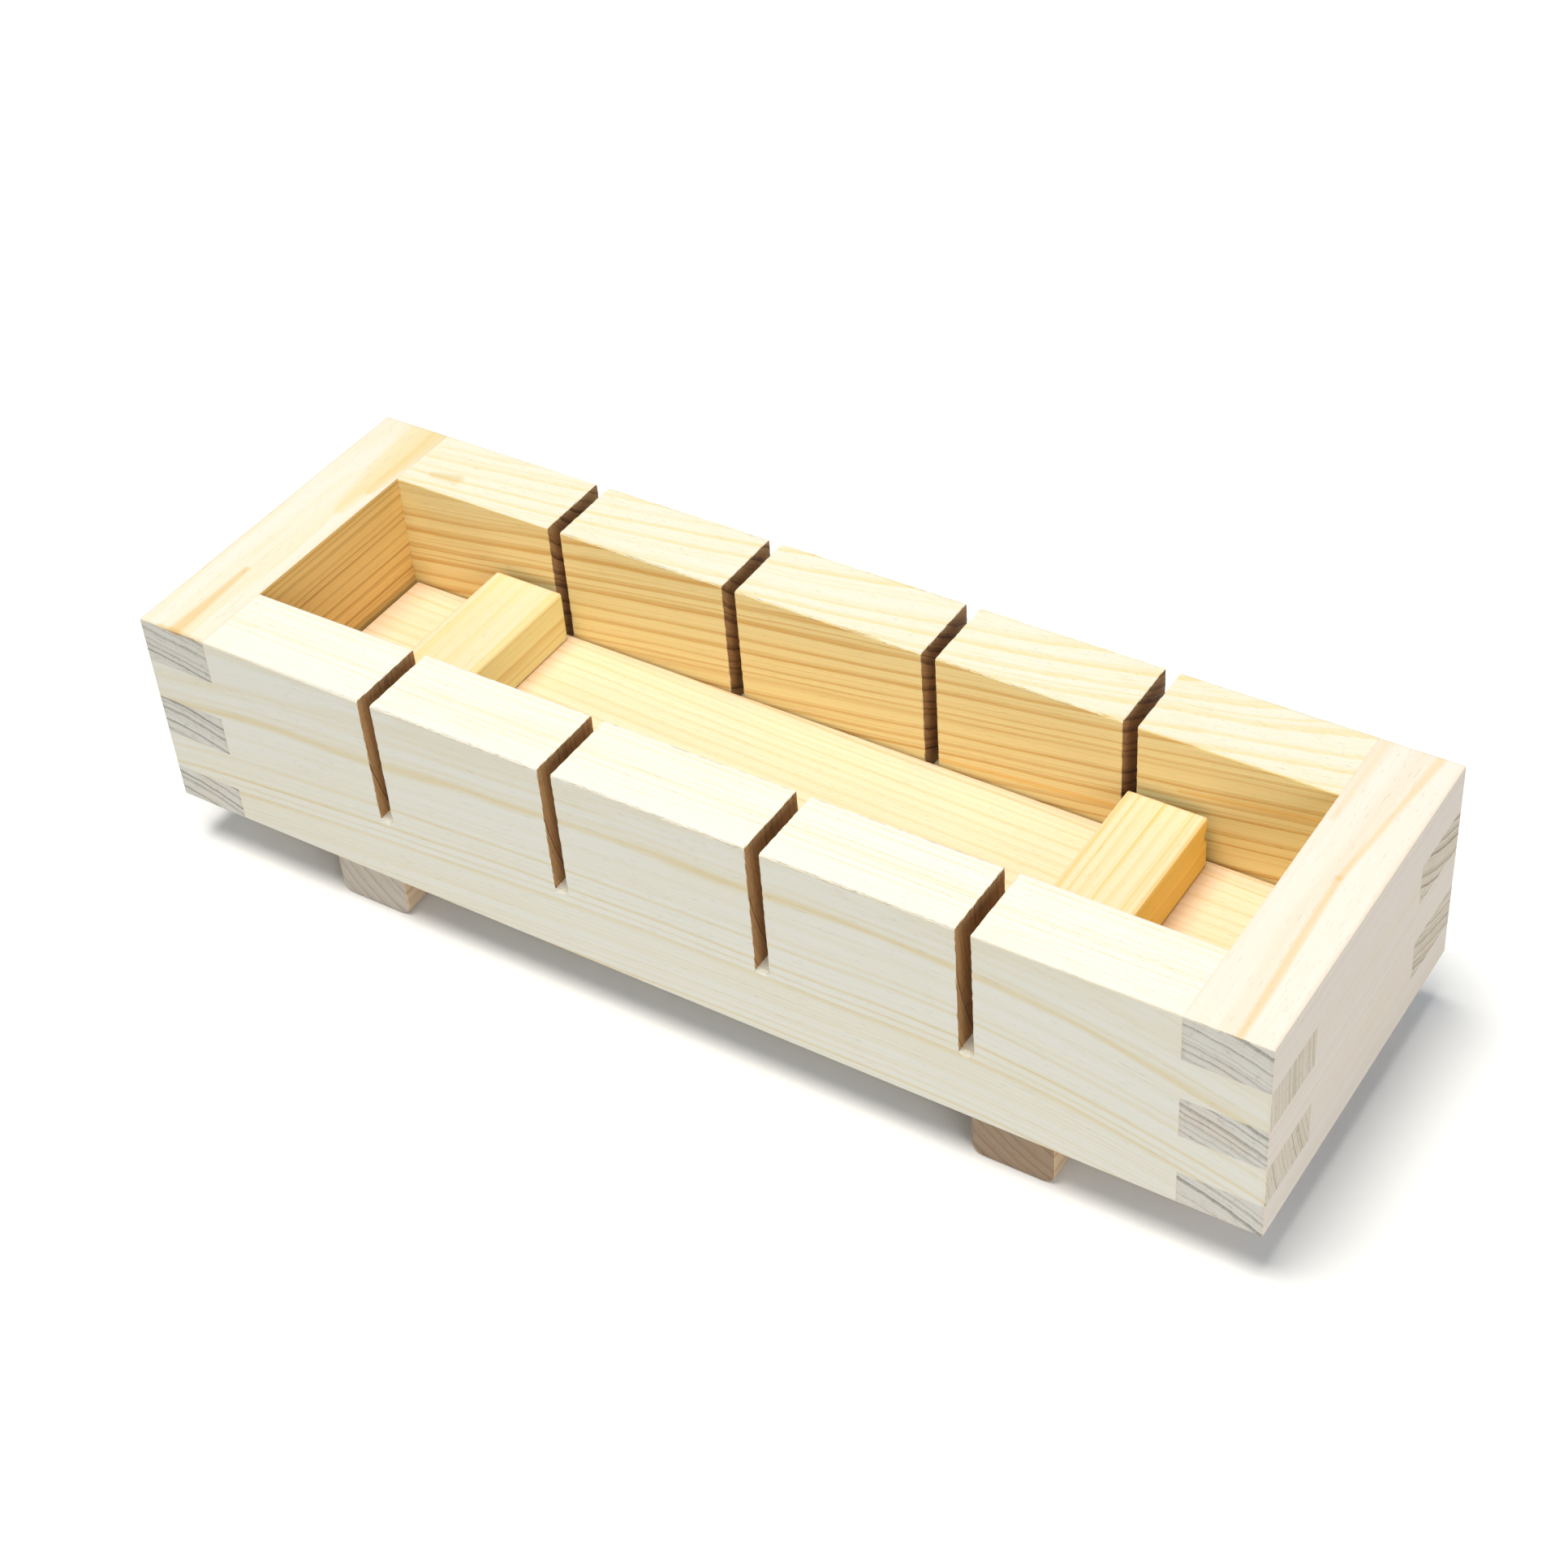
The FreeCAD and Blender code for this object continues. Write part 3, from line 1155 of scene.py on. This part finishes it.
@dataclass
class Studio:
    """The floor, the lights and the camera. Lengths are in metres and angles in degrees."""

    centre: Vector
    floor_size: float = 2.4
    floor_colour: Colour = (0.89, 0.875, 0.85)
    floor_fade: tuple[float, float] = (0.34, 0.8)
    floor_tooth: float = 900.0
    floor_relief: float = 0.02 * MM
    aim: Vector = Vector((0.0017, 0.0, 0.0049))
    distance: float = 0.4884
    azimuth: float = 35.43
    elevation: float = 40.95
    roll: float = -4.86
    lens: float = 66.24
    sky: Colour = (0.76, 0.92, 1.14)
    sky_strength: float = 0.30
    backdrop: Colour = (1.0, 1.0, 1.0)
    lamps: tuple[Lamp, ...] = (
        Lamp("overhead_box", (1.0, 0.97, 0.90), 12.6, 0.62, (-0.08, -0.10, 0.95)),
        Lamp("side_box", (0.95, 0.97, 1.0), 4.2, 0.6, (0.90, -0.60, 0.42)),
    )

    def floor(self) -> None:
        """Lays a pale floor under the object, which fades into the backdrop further out."""
        bm = bmesh.new()
        bmesh.ops.create_grid(bm, x_segments=1, y_segments=1, size=self.floor_size / 2)
        mesh = bpy.data.meshes.new("floor")
        bm.to_mesh(mesh)
        bm.free()
        paper = bpy.data.materials.new("floor_paper")
        recipe = Recipe(paper)
        place = recipe.add("ShaderNodeTexCoord", {}, {}).outputs["Object"]
        scale = (self.floor_tooth,) * 3
        tooth = recipe.noise(recipe.vector_math("MULTIPLY", place, scale).outputs[0], 2.0)
        away = Field(recipe, recipe.vector_math("LENGTH", place).outputs["Value"])
        clear = recipe.rise(away, *self.floor_fade)
        recipe.surface(self.floor_colour, 0.8 + tooth * 0.1, tooth, self.floor_relief, 0.2, clear)
        mesh.materials.append(paper)
        floor = bpy.data.objects.new("floor", mesh)
        bpy.context.scene.collection.objects.link(floor)
        floor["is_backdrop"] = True

    def lights(self) -> None:
        """Sets an even pale sky, which shows as a white backdrop, and the soft lamps."""
        scene = bpy.context.scene
        scene.world = bpy.data.worlds.new("sky")
        recipe = Recipe(scene.world)
        pale = {"Color": opaque(self.sky), "Strength": self.sky_strength}
        glow = recipe.add("ShaderNodeBackground", {}, pale)
        backdrop = recipe.add("ShaderNodeBackground", {}, {"Color": opaque(self.backdrop), "Strength": 1.0})
        seen = recipe.add("ShaderNodeLightPath", {}, {}).outputs["Is Camera Ray"]
        whole = recipe.both(glow, backdrop, seen)
        recipe.add("ShaderNodeOutputWorld", {}, {"Surface": whole.outputs[0]})
        for lamp in self.lamps:
            light = bpy.data.lights.new(lamp.name, "AREA")
            light.shape = "DISK"
            light.size = lamp.size
            light.energy = lamp.power
            light.color = lamp.colour
            holder = bpy.data.objects.new(lamp.name, light)
            holder.location = lamp.place
            holder.rotation_mode = "QUATERNION"
            holder.rotation_quaternion = (self.centre - Vector(lamp.place)).to_track_quat("-Z", "Y")
            scene.collection.objects.link(holder)

    def camera(self) -> None:
        """Places the camera and makes it the scene's."""
        turn, tip = math.radians(self.azimuth), math.radians(self.elevation)
        back = Vector((math.sin(turn) * math.cos(tip), -math.cos(turn) * math.cos(tip), math.sin(tip)))
        data = bpy.data.cameras.new("camera")
        data.lens = self.lens
        data.clip_start = 0.01
        camera = bpy.data.objects.new("camera", data)
        camera.rotation_mode = "QUATERNION"
        tilt = Matrix.Rotation(math.radians(self.roll), 4, "Z").to_quaternion()
        camera.rotation_quaternion = (-back).to_track_quat("-Z", "Y") @ tilt
        camera.location = self.centre + self.aim + back * self.distance
        bpy.context.scene.collection.objects.link(camera)
        bpy.context.scene.camera = camera

    def film(self) -> None:
        """Shows colours as they are, so that the lit floor comes out white."""
        bpy.context.scene.view_settings.view_transform = "Standard"


# ---------------------------------------------------------------- the whole


def woods() -> dict[str, Softwood]:
    """The finish of each piece.

    Returns:
        The finishes, by CAD node, with one for all the pegs.
    """
    # Inward faces with their inner tones are painted warm bounce light: the frame's inner faces and the
    # handles' right faces.
    return {
        "front_side": Softwood(
            "front_side_wood",
            Grain.LENGTHWISE,
            Rings(
                (39.0, 53.0),
                3.3,
                (45.0, -35.0, 41.0),
                crest=45.0,
                bow=(0.0004, 0.0024),
                waver=0.35,
                late=0.86,
                fine=0.5,
                seed=3.0,
            ),
            FRONT_OUTSIDE,
            ends=BROWN_ENDS,
            inward=(1, 1),
            kerf_reach=93.5,
        ),
        "back_side": Softwood(
            "back_side_wood",
            Grain.LENGTHWISE,
            Rings(
                (52.0, 80.0),
                2.3,
                (0.0, 19.5, 40.0),
                lean=(0.0, 0.15),
                waver=0.9,
                late=0.5,
                fine=0.35,
                seed=11.0,
            ),
            BACK_OUTSIDE,
            ends=BROWN_ENDS,
            inward=(1, -1),
            kerf_reach=93.5,
            streaks=(
                Streak((-88.0, 23.6, 50.5), (-83.0, 24.4, 50.5), (1.0, 1.7), (0.90, 0.74, 0.48), 0.7),
                Streak((20.0, 19.5, 28.5), (60.0, 19.5, 32.5), (0.8, 1.5), (0.98, 0.74, 0.42), 0.7),
                Streak((66.0, 19.5, 40.0), (92.0, 19.5, 44.0), (0.8, 1.8), (0.96, 0.74, 0.45), 0.7),
            ),
        ),
        "left_end": Softwood(
            "left_end_wood",
            Grain.CROSSWISE,
            Rings((-114.0, -40.0), 2.6, (-100.0, -35.0, 46.0), late=0.6, seed=21.0),
            LEFT_OUTSIDE,
            inner=BOUNCE_LIT_LEFT_INSIDE,
            inward=(0, 1),
            streaks=(
                Streak((-98.0, 38.0, 50.5), (-96.3, 7.0, 50.5), (5.6, 1.4), (0.985, 0.90, 0.66), 0.8),
                Streak((-94.4, 38.0, 50.5), (-94.8, 14.0, 50.5), (2.4, 1.0), (0.97, 0.84, 0.58), 0.7),
                Streak((-99.9, -15.0, 50.5), (-99.3, -36.0, 50.5), (0.8, 1.6), (0.94, 0.77, 0.52), 0.9),
                Streak((-103.0, -35.0, 50.5), (-94.0, -35.5, 50.5), (0.8, 1.4), (0.94, 0.78, 0.52), 0.8),
            ),
        ),
        "right_end": Softwood(
            "right_end_wood",
            Grain.CROSSWISE,
            Rings(
                (80.0, -37.0),
                3.2,
                (101.2, -5.0, 50.5),
                crest=-5.0,
                bow=(-0.00018, -0.00037),
                late=0.7,
                seed=31.0,
            ),
            RIGHT_OUTSIDE,
            inward=(0, -1),
            streaks=(
                Streak((103.6, 36.0, 50.5), (100.7, 2.0, 50.5), (0.9, 0.7), (0.96, 0.81, 0.56), 0.8),
                Streak((100.7, 2.0, 50.5), (101.9, -36.0, 50.5), (0.7, 0.9), (0.96, 0.81, 0.56), 0.8),
                Streak((94.5, 36.0, 50.5), (94.2, 14.0, 50.5), (1.6, 0.8), (0.98, 0.86, 0.70), 0.7),
                Streak((95.5, -35.0, 30.5), (103.5, -35.0, 28.0), (2.8, 1.6), (1.0, 0.93, 0.88), 0.8, 1.0),
            ),
        ),
        "base_board": Softwood(
            "base_board_wood",
            Grain.LENGTHWISE,
            Rings((60.0, -30.0), 2.6, (0.0, 0.0, 20.0), lean=(-0.02, 0.0), seed=41.0),
            PRESS_FACE,
        ),
        "press_board": Softwood(
            "press_board_wood",
            Grain.LENGTHWISE,
            Rings((90.0, -20.0), 2.2, (0.0, 0.0, 27.5), lean=(-0.03, 0.0), late=0.6, fine=0.5, seed=51.0),
            PRESS_FACE,
        ),
        "left_handle": Softwood(
            "left_handle_wood",
            Grain.CROSSWISE,
            Rings((-20.0, -10.0), 4.2, (-64.0, 0.0, 38.0), seed=61.0),
            LEFT_HANDLE_FACE,
            inner=BOUNCE_LIT_LEFT_HANDLE_SIDE,
            inward=(0, 1),
        ),
        "right_handle": Softwood(
            "right_handle_wood",
            Grain.CROSSWISE,
            Rings((140.0, 20.0), 2.2, (64.0, 0.0, 38.0), seed=71.0),
            RIGHT_HANDLE_FACE,
            inner=BOUNCE_LIT_RIGHT_HANDLE_SIDE,
            inward=(0, 1),
            streaks=(
                # The dark mark at the right handle's splinter notch is painted shade in its hollow.
                Streak((71.8, 18.0, 34.4), (71.8, 18.0, 35.8), (1.4, 1.0), (0.42, 0.24, 0.12), 0.9, 1.0),
            ),
        ),
        "left_foot": Softwood(
            "left_foot_wood",
            Grain.CROSSWISE,
            Rings((-40.0, 30.0), 2.4, (-65.0, -33.0, 5.0), seed=81.0),
            FOOT_FACE,
            ends=LEFT_FOOT_ENDS,
        ),
        "right_foot": Softwood(
            "right_foot_wood",
            Grain.CROSSWISE,
            Rings((90.0, 40.0), 2.4, (64.0, -33.0, 5.0), seed=91.0),
            FOOT_FACE,
            ends=RIGHT_FOOT_ENDS,
        ),
        "pegs": Softwood(
            "peg_wood",
            Grain.UPRIGHT,
            Rings((9.0, 40.0), 1.4, (0.0, 0.0, 0.0), seed=5.0),
            FOOT_FACE,
        ),
    }


def main() -> None:
    """Builds the pieces, dresses them and sets up the studio."""
    logging.basicConfig(level=logging.INFO, format="%(message)s")
    cad_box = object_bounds()
    finishes = woods()
    press_frame = PressFrame()
    press_frame.side("front_wall", "front_side", finishes["front_side"])
    press_frame.side("back_wall", "back_side", finishes["back_side"])
    press_frame.end("left_wall", "left_end", finishes["left_end"])
    press_frame.end("right_wall", "right_end", finishes["right_end"])
    base, press = FootedBase(), PressBoard()
    base.board(finishes["base_board"])
    press.board(finishes["press_board"])
    for side in ("left", "right"):
        base.foot(side, finishes[f"{side}_foot"])
        press.handle(side, finishes[f"{side}_handle"])
        base.pegs.pair(f"{side}_foot_pegs", base.BODY, finishes["pegs"])
        press.pegs.pair(f"{side}_handle_pegs", press.BODY, finishes["pegs"])
    studio = Studio(centre=(cad_box[0] + cad_box[1]) / 2)
    studio.floor()
    studio.lights()
    studio.camera()
    studio.film()


if __name__ == "__main__":
    main()
